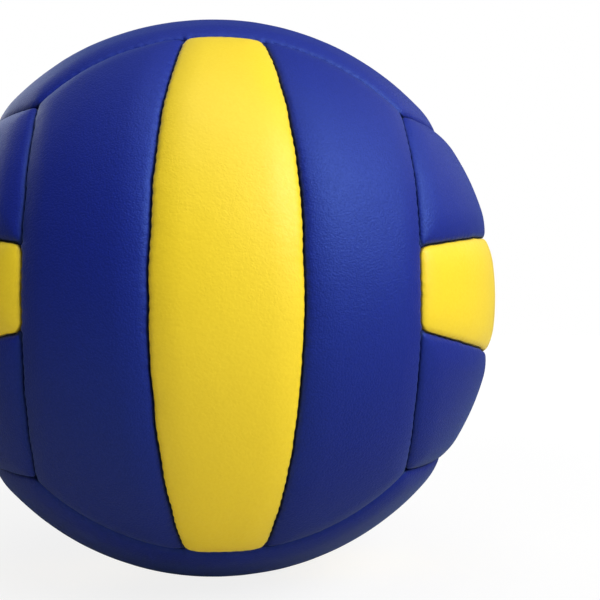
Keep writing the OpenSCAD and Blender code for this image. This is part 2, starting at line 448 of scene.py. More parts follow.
# %% Valve hole and mesh
BOSS_HOLE_R = 4.75 * MM
HOLE_REACH = 2.4
BLOCK_SHARE = 0.8
INSIDE_BLOCK = 0.999


def cut_hole(facts, faces, radius=BOSS_HOLE_R, reach=HOLE_REACH):
    """Eases the grid round the panel's middle onto circles, and takes out the block within the first one."""
    x, y = facts["across"], facts["along"]
    row, column = x.shape[0] // 2, x.shape[1] // 2
    half_block = BLOCK_SHARE * radius
    edge_column = column + np.argmin(np.abs(x[row, column:] - half_block))
    edge_row = row + np.argmin(np.abs(y[row:, column] - half_block))
    p, q = x / x[:, edge_column:edge_column + 1], y / y[edge_row:edge_row + 1]
    ring = np.maximum(np.maximum(np.abs(p), np.abs(q)), TINY)
    ease = np.clip((ring - 1) / (reach - 1), 0, 1)
    ease = ease * ease * (3 - 2 * ease)
    round_x, round_y = (part / np.maximum(np.hypot(p, q), TINY) * radius * ring for part in (p, q))
    near = ring <= reach
    move_x = np.where(near, (1 - ease) * (round_x - x), 0)
    move_y = np.where(near, (1 - ease) * (round_y - y), 0)
    moved = dict(facts)
    moved["ray"] = unit(facts["ray"] + np.stack([move_x, np.zeros_like(move_x), move_y], -1) / ball_r)
    moved["across"], moved["along"] = x + move_x, y + move_y
    inside = ring.ravel() < INSIDE_BLOCK
    return moved, faces[~inside[faces].any(axis=1)]


def store(mesh, name, values):
    """Stores a number or a vector for each point of a mesh, as an attribute."""
    kind, field = ("FLOAT_VECTOR", "vector") if values.ndim > 1 else ("FLOAT", "value")
    mesh.attributes.new(name, kind, "POINT").data.foreach_set(field, values.ravel())


def fill_mesh(name, facts, faces, turn):
    """Makes a mesh of rays at the ball's surface, with the facts as attributes and a flat UV map."""
    rays = facts["ray"].reshape(-1, 3) @ np.array(turn).T
    used = np.unique(faces)
    renumber = np.zeros(len(rays), int)
    renumber[used] = np.arange(len(used))
    faces, rays = renumber[faces], rays[used]
    mesh = bpy.data.meshes.new(name)
    mesh.from_pydata((rays * ball_r).tolist(), [], faces.tolist())
    store(mesh, "ray", rays)
    for fact in FACTS:
        store(mesh, fact, facts[fact].ravel()[used])
    flat = np.stack([facts["across"].ravel()[used], facts["along"].ravel()[used]], -1)
    mesh.uv_layers.new(name="strip").data.foreach_set("uv", flat[faces.ravel()].ravel())
    return mesh


def panel_mesh(name, face, place):
    facts = outer_facts if place else middle_facts
    lines, posts = facts["share"].shape
    faces = grid_faces(lines, posts)
    if name == VALVE_PANEL:
        facts, faces = cut_hole(facts, faces)
    border = outline(lines, posts)
    faces = np.concatenate([faces, wall_faces(border, lines * posts, len(WALL_STEPS))])
    return fill_mesh(name, hang_wall(facts, border), faces, panel_turn(face, place))


def place_object(name, mesh):
    made = bpy.data.objects.new(name, mesh)
    bpy.context.scene.collection.objects.link(made)
    return made


covers = {}
for name, face, place in PANELS:
    covers[name] = place_object(name + "_leather", panel_mesh(name, face, place))
print(sum(len(cover.data.polygons) for cover in covers.values()), "faces in the flat covers")

# %% [markdown]
# ## Shaping the leather with Geometry Nodes
#
# One node tree turns each bare patch into a stuffed panel, because every panel follows the same
# rule. The crown falls away towards the seams, each stitch pulls a small dimple into the edge, the
# seams wander a little as hand-fed seams do, and the leather has slow swells, short puckers beside
# the seams and fine creases across the strip. The seed differs from panel to panel.
#
# The small helpers below add a node, set it and wire it in one line.

# %% Node helpers
NUMBER = "NodeSocketFloat"
POINT3 = "NodeSocketVector"
SHAPE = "NodeSocketGeometry"
FINISH = "NodeSocketMaterial"


def sockets_in(sources):
    return [source for source in sources if isinstance(source, bpy.types.NodeSocket)]


def connect(socket, source):
    """Links a socket to a source, or sets it where the source is a plain value."""
    if sockets_in([source]):
        source.id_data.links.new(source, socket)
    elif source is not None:
        socket.default_value = source


def add_node(kind, *sources, tree=None, **settings):
    """Adds a node to this tree or to that of its sources, and fills its inputs in their order."""
    made = (tree or sockets_in(sources)[0].id_data).nodes.new(kind)
    for name, value in settings.items():
        setattr(made, name, value)
    for socket, source in zip([s for s in made.inputs if s.enabled], sources):
        connect(socket, source)
    return made


def wire(node, **sources):
    """Fills a node's inputs by name, with _ for a space, and returns its outputs."""
    for label, source in sources.items():
        connect(node.inputs[label.replace("_", " ")], source)
    return node.outputs


def use_group(group, **sources):
    tree = sockets_in(sources.values())[0].id_data
    return wire(add_node(group.bl_idname.replace("Tree", "Group"), tree=tree, node_tree=group), **sources)


def new_tree(name, kind, inputs, **outputs):
    """A node group. An input is given as its socket's type or, if it is a number, as its default."""
    tree = bpy.data.node_groups.new(name, kind)
    for label, value in inputs.items():
        if isinstance(value, str):
            tree.interface.new_socket(name=label, in_out="INPUT", socket_type=value)
        else:
            tree.interface.new_socket(name=label, in_out="INPUT", socket_type=NUMBER).default_value = value
    for label, socket_type in outputs.items():
        tree.interface.new_socket(name=label, in_out="OUTPUT", socket_type=socket_type)
    return tree, tree.nodes.new("NodeGroupInput").outputs, tree.nodes.new("NodeGroupOutput").inputs


def calc(operation, *values):
    """A math node, or a vector one where a value is a vector."""
    plain = all(socket.type == "VALUE" for socket in sockets_in(values))
    kind = "ShaderNodeMath" if plain else "ShaderNodeVectorMath"
    return add_node(kind, *values, operation=operation).outputs[0]


def chain(operation):
    """A function that takes its values from left to right through one operation."""
    def work_through(result, *others):
        for other in others:
            result = calc(operation, result, other)
        return result
    return work_through


times, plus, minus = chain("MULTIPLY"), chain("ADD"), chain("SUBTRACT")
over, power = chain("DIVIDE"), chain("POWER")


def mean(first, second):
    return calc("MULTIPLY_ADD", first, 0.5, times(second, 0.5))


def fit_range(value, low, high, new_low=0.0, new_high=1.0, kind="LINEAR"):
    made = add_node("ShaderNodeMapRange", value, low, high, new_low, new_high, interpolation_type=kind)
    return made.outputs[0]


def dot(first, second):
    return add_node("ShaderNodeVectorMath", first, second, operation="DOT_PRODUCT").outputs[1]


def stretch(vector, scale):
    """A vector times a number."""
    return wire(add_node("ShaderNodeVectorMath", vector, operation="SCALE"), Scale=scale)[0]


def xyz(x, y, z):
    return add_node("ShaderNodeCombineXYZ", x, y, z).outputs[0]


def noise(vector, scale, detail=2.0, seed=None, output=0):
    """A noise texture from 0 to 1. With a seed it is a different noise for each seed."""
    if seed is None:
        made = add_node("ShaderNodeTexNoise", vector, scale, detail)
    else:
        made = add_node("ShaderNodeTexNoise", vector, seed, scale, detail, noise_dimensions="4D")
    return made.outputs[output]


def swing(value, reach):
    """Turns a noise from 0 to 1 into one from minus reach to reach."""
    return times(minus(value, 0.5), times(reach, 2.0))


def drift(vector, scale):
    """A noise vector whose parts run from -0.5 to 0.5."""
    return minus(noise(vector, scale, output=1), (0.5, 0.5, 0.5))


def read_fact(tree, name, data_type="FLOAT"):
    return add_node("GeometryNodeInputNamedAttribute", name, tree=tree, data_type=data_type).outputs[0]


def move_points(shape, place, chosen=None):
    return add_node("GeometryNodeSetPosition", shape, chosen, place).outputs[0]


def join_shapes(*shapes):
    joined = add_node("GeometryNodeJoinGeometry", tree=shapes[0].id_data)
    for shape in shapes:
        connect(joined.inputs[0], shape)
    return joined.outputs[0]


def end_tree(shape, inputs, outputs):
    """Ends a tree with smooth faces, real geometry and the material."""
    smooth = add_node("GeometryNodeSetShadeSmooth", shape).outputs[0]
    real = add_node("GeometryNodeRealizeInstances", smooth).outputs[0]
    finished = add_node("GeometryNodeSetMaterial", real, None, inputs["Material"]).outputs[0]
    connect(outputs["Geometry"], finished)


# %% [markdown]
# A hand-made ball is never quite round. All its layers share one small group, which lets the seams
# wander and leaves one side of the ball a little flatter, so they stay in step with each other. The
# wandering has its outward part taken out, so it moves the seams over the ball and makes no lumps.

# %% Wandering seams
SEAM_WANDER = 0.55 * MM
FLAT_SIDE = (0.28, -0.33, 0.90)
FLAT_EDGE, FLAT_MIDDLE = 0.66, 0.97
SLOW_SCALE, FINE_SCALE = 9.0, 34.0
WANDER = {
    "Ray": POINT3,
    "Reach": SEAM_WANDER,
    "Fine reach": 0.12 * MM,
    "Flat depth": 0.85 * MM,
}
wandering, inputs, outputs = new_tree("seam wander", "GeometryNodeTree", WANDER, Offset=POINT3)
ray = inputs["Ray"]
slow = stretch(drift(ray, SLOW_SCALE), times(inputs["Reach"], 2.0))
fine = stretch(drift(ray, FINE_SCALE), times(inputs["Fine reach"], 2.0))
sideways = plus(slow, fine)
sideways = minus(sideways, stretch(ray, dot(ray, sideways)))
flatness = fit_range(dot(ray, FLAT_SIDE), FLAT_EDGE, FLAT_MIDDLE, kind="SMOOTHSTEP")
inwards = stretch(ray, times(flatness, inputs["Flat depth"]))
connect(outputs["Offset"], minus(sideways, inwards))
print("Seams wander by up to", round(SEAM_WANDER / MM, 2), "mm")


def wander(ray, reach):
    return use_group(wandering, Ray=ray, Reach=reach)["Offset"]


# %% Panel relief tree
CROWN_POWER, PULL_POWER, PUCKER_POWER = 2.0, 9.0, 2.0
SWELL_SCALE = 5.0
PUCKERS_ALONG, PUCKERS_ACROSS = 190.0, 1.5
CREASES_ALONG, CREASES_ACROSS = 95.0, 60.0
CREASE_WIDTH = 0.035
CREASED_SCALE = 8.0
CREASED_FROM, CREASED_TO = 0.48, 0.62
RELIEF = {
    "Geometry": SHAPE,
    "Ball radius": ball_r,
    "Crown drop": CROWN_DROP,
    "Seam wander": SEAM_WANDER,
    "Stitch pitch": STITCH_PITCH,
    "Stitch pull": 0.3 * MM,
    "Swell": 0.18 * MM,
    "Pucker": 0.1 * MM,
    "Crease depth": 0.05 * MM,
    "Seed": 0.0,
    "Material": FINISH,
}
relief, inputs, outputs = new_tree("panel relief", "GeometryNodeTree", RELIEF, Geometry=SHAPE)
seed = inputs["Seed"]
ray = read_fact(relief, "ray", "FLOAT_VECTOR")
share, depth, arc, guard, across, along = (read_fact(relief, fact) for fact in FACTS)
fall = times(inputs["Crown drop"], power(share, CROWN_POWER))

turns = times(over(arc, inputs["Stitch pitch"]), math.tau)
beat = calc("MULTIPLY_ADD", calc("COSINE", turns), 0.5, 0.5)
pull = times(beat, times(power(share, PULL_POWER), guard), inputs["Stitch pull"])

swell = swing(noise(ray, SWELL_SCALE, seed=seed), inputs["Swell"])
beside = xyz(times(arc, PUCKERS_ALONG), times(share, PUCKERS_ACROSS), seed)
pucker = swing(noise(beside, scale=1.0, seed=seed), inputs["Pucker"])
pucker = times(pucker, times(power(share, PUCKER_POWER), guard))

lines = xyz(times(across, CREASES_ACROSS), times(along, CREASES_ALONG), seed)
valley = calc("ABSOLUTE", minus(noise(lines, scale=1.0, seed=seed), 0.5))
valley = fit_range(valley, 0.0, CREASE_WIDTH, 1.0, 0.0, "SMOOTHSTEP")
creased = noise(ray, CREASED_SCALE, detail=1.0, seed=seed)
creased = fit_range(creased, CREASED_FROM, CREASED_TO, kind="SMOOTHSTEP")
crease = times(valley, creased, inputs["Crease depth"])

height = plus(minus(inputs["Ball radius"], fall, depth, pull, crease), swell, pucker)
shaped = move_points(inputs["Geometry"], plus(stretch(ray, height), wander(ray, inputs["Seam wander"])))
end_tree(shaped, inputs, outputs)
print(len(relief.nodes), "nodes shape a panel")

# %% [markdown]
# ## Leather
#
# The covers are synthetic leather: a coloured film pressed with a fine pebble grain. Where the foam
# under it has been squeezed the yellow film keeps short wrinkles that run every way. Both colours
# share the grain, which is therefore one node group. It gives a height for the bump, a tone for the
# colour and a gloss for the roughness, and each material decides how strongly to use them. A Voronoi
# texture's distance to the edge draws the net of wrinkles, a noise bends it, and a second noise
# leaves it only in patches.

# %% Leather grain group
CELL_TOP = 0.6
PORE_SHARE = 0.6
PORES_TO_CELLS, SPECKS_TO_CELLS = 1.7, 0.9
BEND_SCALE = 420.0
BEND_REACH = 5 * MM
FOLD_WIDTH = 0.14
FOLDED_SCALE = 110.0
FOLDED_FROM, FOLDED_TO = 0.4, 0.6
SPECKS_FROM, SPECKS_TO = 0.35, 0.65
TONE_SCALE, GLOSS_SCALE = 22.0, 30.0
GRAIN = {
    "Place": POINT3,
    "Pebble size": 0.9,
    "Pebble depth": 1.0,
    "Wrinkle size": 3.2,
    "Wrinkle depth": 1.0,
}
LOOKS = {"Height": NUMBER, "Tone": NUMBER, "Gloss": NUMBER}


def voronoi(vector, scale, feature="SMOOTH_F1"):
    return add_node("ShaderNodeTexVoronoi", vector, scale, feature=feature).outputs["Distance"]


grain, inputs, outputs = new_tree("leather grain", "ShaderNodeTree", GRAIN, **LOOKS)
spot = inputs["Place"]
cell_scale = over(1 / MM, inputs["Pebble size"])
pebble = times(minus(CELL_TOP, voronoi(spot, cell_scale)), inputs["Pebble depth"])
pores = noise(spot, times(cell_scale, PORES_TO_CELLS), detail=3.0)
pebble = plus(pebble, times(pores, times(inputs["Pebble depth"], PORE_SHARE)))
bent = plus(spot, stretch(drift(spot, BEND_SCALE), BEND_REACH))
net = voronoi(bent, over(1 / MM, inputs["Wrinkle size"]), "DISTANCE_TO_EDGE")
fold = fit_range(net, 0.0, FOLD_WIDTH, kind="SMOOTHSTEP")
folded = fit_range(noise(spot, FOLDED_SCALE, detail=3.0), FOLDED_FROM, FOLDED_TO)
connect(outputs["Height"], plus(pebble, times(fold, inputs["Wrinkle depth"], folded)))
specks = noise(spot, times(cell_scale, SPECKS_TO_CELLS), detail=1.0)
specks = fit_range(specks, SPECKS_FROM, SPECKS_TO)
connect(outputs["Tone"], mean(specks, noise(spot, TONE_SCALE, detail=3.0)))
connect(outputs["Gloss"], mean(specks, noise(spot, GLOSS_SCALE)))
print(len(grain.nodes), "nodes make the grain")

# %% Leather materials
TONE_FROM, TONE_TO = 0.2, 0.8
# From this share of the shoulder to the seam, the colour turns towards a near-black: painted shade in the
# groove between the lips.
PAINTED_SHADE_FROM = 0.965
MOST_PAINTED_SHADE = 0.85
GLOSS_SWING = 0.04


def new_material(name, roughness, **sockets):
    """A material with a Principled BSDF whose plain values are set on its own sockets."""
    material = bpy.data.materials.new(name)
    material.use_nodes = True
    shader = material.node_tree.nodes["Principled BSDF"]
    wire(shader, Roughness=roughness, **sockets)
    return material, shader


def object_place(tree):
    return tree.nodes.new("ShaderNodeTexCoord").outputs["Object"]


def mix_colour(share, first, second):
    """Mixes two colours, which may be tuples or sockets."""
    made = add_node("ShaderNodeMix", share, first, second, data_type="RGBA")
    return next(s for s in made.outputs if s.enabled)


def bump(shader, height, distance=MM):
    made = add_node("ShaderNodeBump", tree=height.id_data)
    wire(shader, Normal=wire(made, Height=height, Distance=distance)[0])


def leather(name, dark, light, painted_shade, size, pebble, wrinkle, roughness, **sockets):
    material, shader = new_material(name, roughness, **sockets)
    tree = material.node_tree
    spot = object_place(tree)
    skin = use_group(grain, Place=spot, Pebble_size=size, Pebble_depth=pebble, Wrinkle_depth=wrinkle)
    colour = mix_colour(fit_range(skin["Tone"], TONE_FROM, TONE_TO), dark, light)
    edge = add_node("ShaderNodeAttribute", tree=tree, attribute_name="share").outputs["Fac"]
    # Painted shade: the lip darkens towards the seam, so the groove between the panels looks shadowed.
    colour = mix_colour(fit_range(edge, PAINTED_SHADE_FROM, 1.0, 0.0, MOST_PAINTED_SHADE), colour, painted_shade)
    rough = fit_range(skin["Gloss"], TONE_FROM, TONE_TO, roughness + GLOSS_SWING, roughness - GLOSS_SWING)
    wire(shader, Base_Color=colour, Roughness=rough)
    bump(shader, skin["Height"])
    return material


# Each leather gives its dark tone, its light tone, and the colour of the painted shade in its seam groove.
LEATHERS = {
    "leather_blue": leather(
        "blue leather", (0.0025, 0.0062, 0.204, 1), (0.0034, 0.0086, 0.252, 1), (0.0014, 0.0026, 0.055, 1),
        size=0.55, pebble=0.1, wrinkle=0.0, roughness=0.58,
        Specular_IOR_Level=1.0, Specular_Tint=(0.22, 0.42, 1, 1),
        Sheen_Weight=0.14, Sheen_Roughness=0.35, Sheen_Tint=(0.35, 0.62, 1, 1)),
    "leather_yellow": leather(
        "yellow leather", (0.868, 0.636, 0.016, 1), (0.890, 0.660, 0.020, 1), (0.14, 0.085, 0.008, 1),
        size=0.8, pebble=0.04, wrinkle=0.015, roughness=0.5,
        Specular_IOR_Level=0.45, Sheen_Weight=0.15, Sheen_Roughness=0.35),
}
print("Leathers:", ", ".join(LEATHERS))

# %% [markdown]
# The relief tree goes onto each cover as a modifier, with its inputs set by their identifiers. A
# Solidify modifier after it gives the leather its thickness. The evaluated result is then turned
# into a plain mesh, because the frame and the export want finished pieces.

# %% Finish the covers
BLUE_CREASES, YELLOW_CREASES = 0.015 * MM, 0.035 * MM
SEED_STEP = 3.0


def grow(target, tree, **values):
    """Adds a Geometry Nodes modifier and sets its inputs by name."""
    modifier = target.modifiers.new(tree.name, "NODES")
    modifier.node_group = tree
    names = {item.name: item.identifier for item in tree.interface.items_tree if item.in_out == "INPUT"}
    for label, value in values.items():
        modifier[names[label.replace("_", " ")]] = value


def thicken(target, thickness):
    solidify = target.modifiers.new("thickness", "SOLIDIFY")
    solidify.thickness = thickness
    solidify.offset = -1


def hand_in(piece, node):
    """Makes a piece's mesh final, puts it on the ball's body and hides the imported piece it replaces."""
    graph = bpy.context.evaluated_depsgraph_get()
    shown = piece.evaluated_get(graph)
    mesh = bpy.data.meshes.new_from_object(shown, preserve_all_data_layers=True, depsgraph=graph)
    piece.modifiers.clear()
    piece.data = mesh
    mesh.name = piece.name
    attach(piece, "ball")
    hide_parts(node)


def triangles(target):
    target.data.calc_loop_triangles()
    return len(target.data.loop_triangles)


def leather_slot(place):
    return "leather_blue" if place else "leather_yellow"


for number, (name, face, place) in enumerate(PANELS):
    crease_depth = BLUE_CREASES if place else YELLOW_CREASES
    grow(covers[name], relief, Crease_depth=crease_depth, Seed=SEED_STEP * number,
         Material=LEATHERS[leather_slot(place)])
    thicken(covers[name], SKIN)
for name, face, place in PANELS:
    hand_in(covers[name], name + "_cover")
print(sum(triangles(cover) for cover in covers.values()), "triangles in the covers")

# %% [markdown]
# ## Pads and linings
#
# Under each cover lies a foam pad, crowned like the cover and flat where it rests on its cloth
# lining. Pad and lining are both slabs on the bladder, so one node tree makes them. It lays the bare
# patch at the floor of the slab, extrudes it, lifts the new top to its own shape, and closes the
# slab with a copy of the floor that faces the other way. The layers lie on an inflated ball and have
# nowhere to fall, so no cloth simulation is needed for them.

# %% Slab tree
EDGE_POWER = 14.0
WELD_DISTANCE = 0.01 * MM
SLAB = {
    "Geometry": SHAPE,
    "Floor radius": ball_r - COVER_DEPTH,
    "Height": CLOTH,
    "Crown drop": 0.0,
    "Edge drop": 0.0,
    "Seam wander": SEAM_WANDER,
    "Material": FINISH,
}
slab, inputs, outputs = new_tree("slab on the bladder", "GeometryNodeTree", SLAB, Geometry=SHAPE)
ray = read_fact(slab, "ray", "FLOAT_VECTOR")
share = read_fact(slab, "share")
shift = wander(ray, inputs["Seam wander"])
floor_r = inputs["Floor radius"]
base = move_points(inputs["Geometry"], plus(stretch(ray, floor_r), shift))
raised = add_node("GeometryNodeExtrudeMesh", base, None, None, 0.0, False).outputs
crown_drop = times(inputs["Crown drop"], power(share, CROWN_POWER))
rim_drop = times(inputs["Edge drop"], power(share, EDGE_POWER))
thick = minus(inputs["Height"], crown_drop, rim_drop)
topped = move_points(raised["Mesh"], plus(stretch(ray, plus(floor_r, thick)), shift), raised["Top"])
under = add_node("GeometryNodeFlipFaces", base).outputs[0]
closed = add_node("GeometryNodeMergeByDistance", join_shapes(topped, under))
end_tree(wire(closed, Distance=WELD_DISTANCE)[0], inputs, outputs)
print(len(slab.nodes), "nodes make a slab")

# %% [markdown]
# The foam is open-celled and off-white, with the mottled skin of a sliced block. The lining is a
# plain grey cotton, whose weave comes from two crossed waves in the strip's own flat coordinates,
# so its threads run along and across the strip.

# %% Foam and cloth
SLUB_SCALE = (300.0, 2200.0, 1.0)
CROSSING_TONE = 0.25
MOTTLE_SCALE = 60.0
MOTTLE_SHARE, HOLE_SHARE = 0.6, 0.7
MOTTLE_FROM, MOTTLE_TO = 0.3, 0.9
WEAVE = {"Strip": POINT3, "Thread width": 0.4}
weave, inputs, outputs = new_tree("plain weave", "ShaderNodeTree", WEAVE, Height=NUMBER, Tone=NUMBER)
turns = over(math.pi / MM, inputs["Thread width"])
flat = add_node("ShaderNodeSeparateXYZ", inputs["Strip"]).outputs
warp, weft = (calc("SINE", times(flat[axis], turns)) for axis in (0, 1))
crossing = times(warp, weft)
slub = noise(times(inputs["Strip"], SLUB_SCALE), scale=1.0)
connect(outputs["Height"], calc("MULTIPLY_ADD", crossing, 0.5, 0.5))
connect(outputs["Tone"], calc("MULTIPLY_ADD", crossing, CROSSING_TONE, slub))


def cloth(name, dark, light, width):
    material, shader = new_material(name, roughness=0.85, Sheen_Weight=0.3)
    strip = add_node("ShaderNodeUVMap", tree=material.node_tree, uv_map="strip").outputs[0]
    threads = use_group(weave, Strip=strip, Thread_width=width)
    wire(shader, Base_Color=mix_colour(fit_range(threads["Tone"], TONE_FROM, TONE_TO), dark, light))
    bump(shader, threads["Height"], distance=0.15 * MM)
    return material


def foam(name, dark, light, cell):
    material, shader = new_material(name, roughness=0.9)
    spot = object_place(material.node_tree)
    holes = voronoi(spot, 1 / cell)
    mottle = noise(spot, MOTTLE_SCALE, detail=3.0)
    mottle = calc("MULTIPLY_ADD", mottle, MOTTLE_SHARE, times(holes, HOLE_SHARE))
    wire(shader, Base_Color=mix_colour(fit_range(mottle, MOTTLE_FROM, MOTTLE_TO), dark, light))
    bump(shader, holes, distance=0.4 * MM)
    return material


LINING_CLOTH = cloth("grey lining cloth", (0.26, 0.26, 0.27, 1), (0.42, 0.42, 0.43, 1), width=0.4)
PAD_FOAM = foam("pad foam", (0.62, 0.58, 0.45, 1), (0.80, 0.77, 0.64, 1), cell=0.5 * MM)
print("Materials:", LINING_CLOTH.name, "and", PAD_FOAM.name)

# %% [markdown]
# The patches are laid out at the ball's surface, but pads and linings lie deeper, where every length
# is a little shorter. So a hole in them is laid out larger by that share.

# %% Pads and linings
PAD_ROOM = 0.4 * MM
PAD_RIM_DROP = 0.6 * MM
PATCH_R = 16 * MM
LINER_GAP = 0.15 * MM
LINER_REACH = 1.6
PAD_FLOOR_R = ball_r - PAD_DEPTH - FOAM
PAD_SCALE = PAD_FLOOR_R / ball_r
LINING_SCALE = (ball_r - COVER_DEPTH) / ball_r
PAD_INSET = SEAM_GAP / 2 + SKIN + GLUE
PAD_HOLE = BOSS_HOLE_R / PAD_SCALE
LINER_HOLE = (PATCH_R + LINER_GAP) / LINING_SCALE
PAD_GRIDS = [
    strip_facts(0, COARSE_MIDDLE_GRID, PAD_INSET, steps=COARSE_STEPS),
    strip_facts(1, COARSE_OUTER_GRID, PAD_INSET, steps=COARSE_STEPS),
]


def slab_object(kind, name, face, place, *hole):
    """A bare patch for a pad or a lining, with a round hole in the panel of the valve."""
    facts = PAD_GRIDS[abs(place)]
    faces = grid_faces(*facts["share"].shape)
    if name == VALVE_PANEL:
        facts, faces = cut_hole(facts, faces, *hole)
    return place_object(name + kind, fill_mesh(name, facts, faces, panel_turn(face, place)))


for name, face, place in PANELS:
    pad = slab_object("_pad", name, face, place, PAD_HOLE, HOLE_REACH)
    grow(pad, slab, Floor_radius=PAD_FLOOR_R, Height=FOAM - PAD_ROOM, Crown_drop=CROWN_DROP,
         Edge_drop=PAD_RIM_DROP, Material=PAD_FOAM)
    hand_in(pad, name + "_foam")

    liner = slab_object("_liner", name, face, place, LINER_HOLE, LINER_REACH)
    grow(liner, slab, Material=LINING_CLOTH)
    hand_in(liner, name + "_lining")

# %% [markdown]
# ## The bladder and its patch
#
# The bladder is a thin rubber balloon, dipped or moulded in two halves, so a fine ridge runs round
# it. A ring of cloth strengthens the place where the valve passes through the lining. Both are rings
# of points round the valve's axis, which one function lays out.

# %% Valve patch
PATCH_RINGS, PATCH_SPOKES = 7, 72


def mesh_about_valve(name, angles, spokes):
    """A piece of rings of points round +Z, at these angles from it."""
    turn = np.linspace(0, math.tau, spokes, endpoint=False)
    lean, turn = np.meshgrid(angles, turn, indexing="ij")
    facts = {fact: np.zeros_like(lean) for fact in FACTS}
    facts["ray"] = on_circle(np.sin(lean) * np.cos(turn), np.sin(lean) * np.sin(turn), np.cos(lean))
    facts["across"] = ball_r * lean * np.cos(turn)
    facts["along"] = ball_r * lean * np.sin(turn)
    index = np.arange(lean.size).reshape(lean.shape)
    after = np.roll(index, -1, axis=1)
    faces = np.stack([index[:-1], index[1:], after[1:], after[:-1]], -1).reshape(-1, 4)
    return place_object(name, fill_mesh(name, facts, faces, panel_turn("top", 0)))


patch_angles = np.linspace(BOSS_HOLE_R, PATCH_R, PATCH_RINGS) / (LINING_SCALE * ball_r)
patch = mesh_about_valve("valve_reinforcement", patch_angles, PATCH_SPOKES)
grow(patch, slab, Height=CLOTH, Material=LINING_CLOTH)
hand_in(patch, "valve_patch")

# %% Rubber
DUST_SCALE = 140.0
DUST_POWER = 1.5
FINE_SHARE = 0.3
DULL_FROM, DULL_TO = 0.3, 1.0
SMOOTHER, ROUGHER = 0.1, 0.15
RUBBER = {"Place": POINT3, "Grain": 0.4, "Dust": 0.5}
speckle, inputs, outputs = new_tree("rubber skin", "ShaderNodeTree", RUBBER, **LOOKS)
fine = noise(inputs["Place"], over(1 / MM, inputs["Grain"]), detail=3.0)
slow = noise(inputs["Place"], DUST_SCALE, detail=3.0)
connect(outputs["Height"], fine)
connect(outputs["Tone"], times(power(slow, DUST_POWER), inputs["Dust"]))
connect(outputs["Gloss"], calc("MULTIPLY_ADD", fine, FINE_SHARE, slow))


def rubber(name, fresh, dusty, grain_size, dust, roughness):
    material, shader = new_material(name, roughness, Specular_IOR_Level=0.4)
    skin = use_group(speckle, Place=object_place(material.node_tree), Grain=grain_size, Dust=dust)
    rough = fit_range(skin["Gloss"], DULL_FROM, DULL_TO, roughness - SMOOTHER, roughness + ROUGHER)
    wire(shader, Base_Color=mix_colour(skin["Tone"], fresh, dusty), Roughness=rough)
    bump(shader, skin["Height"], distance=0.08 * MM)
    return material


BLACK_RUBBER = rubber("black rubber", (0.014, 0.014, 0.015, 1), (0.09, 0.088, 0.085, 1),
                      grain_size=0.5, dust=0.6, roughness=0.5)
PALE_RUBBER = rubber("pale plug rubber", (0.72, 0.66, 0.50, 1), (0.50, 0.44, 0.32, 1),
                     grain_size=0.35, dust=0.7, roughness=0.45)
print("Materials:", BLACK_RUBBER.name, "and", PALE_RUBBER.name)

# %% Bladder and CAD rubber
BLADDER_R = ball_r - COVER_DEPTH - GLUE
BLADDER_WALL = 0.8 * MM
RIDGE = 0.1 * MM
RIDGE_WIDTH = 0.6 * MM
BLADDER_SPOKES = 96
HALF_RINGS = 40
RIDGE_ANGLES = (89, 89.6, 90, 90.4, 91)
UPPER_END, LOWER_START, FOOT = math.radians(88), math.radians(92), math.radians(179.6)
bladder_angles = np.concatenate([
    np.linspace(BOSS_HOLE_R / BLADDER_R, UPPER_END, HALF_RINGS),
    np.radians(RIDGE_ANGLES),
    np.linspace(LOWER_START, FOOT, HALF_RINGS)])
balloon = mesh_about_valve("inflated_bladder", bladder_angles, BLADDER_SPOKES)
points = np.array([vertex.co for vertex in balloon.data.vertices]) / ball_r
swelling = BLADDER_R + RIDGE * np.exp(-(points[:, 2:] * BLADDER_R / RIDGE_WIDTH) ** 2)
balloon.data.vertices.foreach_set("co", (points * swelling).ravel())
shell = bmesh.new()
shell.from_mesh(balloon.data)
rim = [edge for edge in shell.edges if edge.is_boundary and edge.verts[0].co.z < 0]
bmesh.ops.contextual_create(shell, geom=rim)
shell.to_mesh(balloon.data)
shell.free()
balloon.data.materials.append(BLACK_RUBBER)
balloon.data.shade_smooth()
thicken(balloon, BLADDER_WALL)
hand_in(balloon, "bladder")

for node, material in (("valve_housing", BLACK_RUBBER), ("valve_plug", PALE_RUBBER)):
    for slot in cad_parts[node].material_slots:
        slot.material = material
print("Bladder of", round(2 * BLADDER_R / MM), "mm with", triangles(balloon), "triangles")

# %% [markdown]
# ## The sewing
#
# The lips are sewn from inside, so only deep in the groove can the thread be seen. It is a strand
# along each seam with a stitch across it every few millimetres, which is a job for Geometry Nodes:
# the seams are bare lines of points, Curve to Mesh gives them their thickness, and one small arched
# stitch is placed on every point of the evenly divided line, square to the seam.

# %% Seam lines
THREAD_STOP = 1.6 * MM
SEAM_POINTS = 60


def seam_lines():
    """Points of all 24 seams as rays, with the edges that join them."""
    inner, outer, _ = strip_seams(1)
    seams = ((inner, 2 * INNER_ARC * ball_r), (outer, 2 * LONG_ARC * SEAM_SHARE * ball_r))
    rays, edges = [], []
    for face in FACE_TURNS:
        for place in (-1, 1):
            turn = np.array(panel_turn(face, place)).T
            for curve, length in seams:
                stop = THREAD_STOP / length
                first = len(rays) * SEAM_POINTS
                rays.append(curve(np.linspace(stop, 1 - stop, SEAM_POINTS)) @ turn)
                edges += [(point, point + 1) for point in range(first, first + SEAM_POINTS - 1)]
    return np.concatenate(rays), edges


rays, edges = seam_lines()
line_mesh = bpy.data.meshes.new("seam_stitching")
line_mesh.from_pydata((rays * ball_r).tolist(), edges, [])
store(line_mesh, "ray", rays)
print(len(rays) // SEAM_POINTS, "seams to sew")

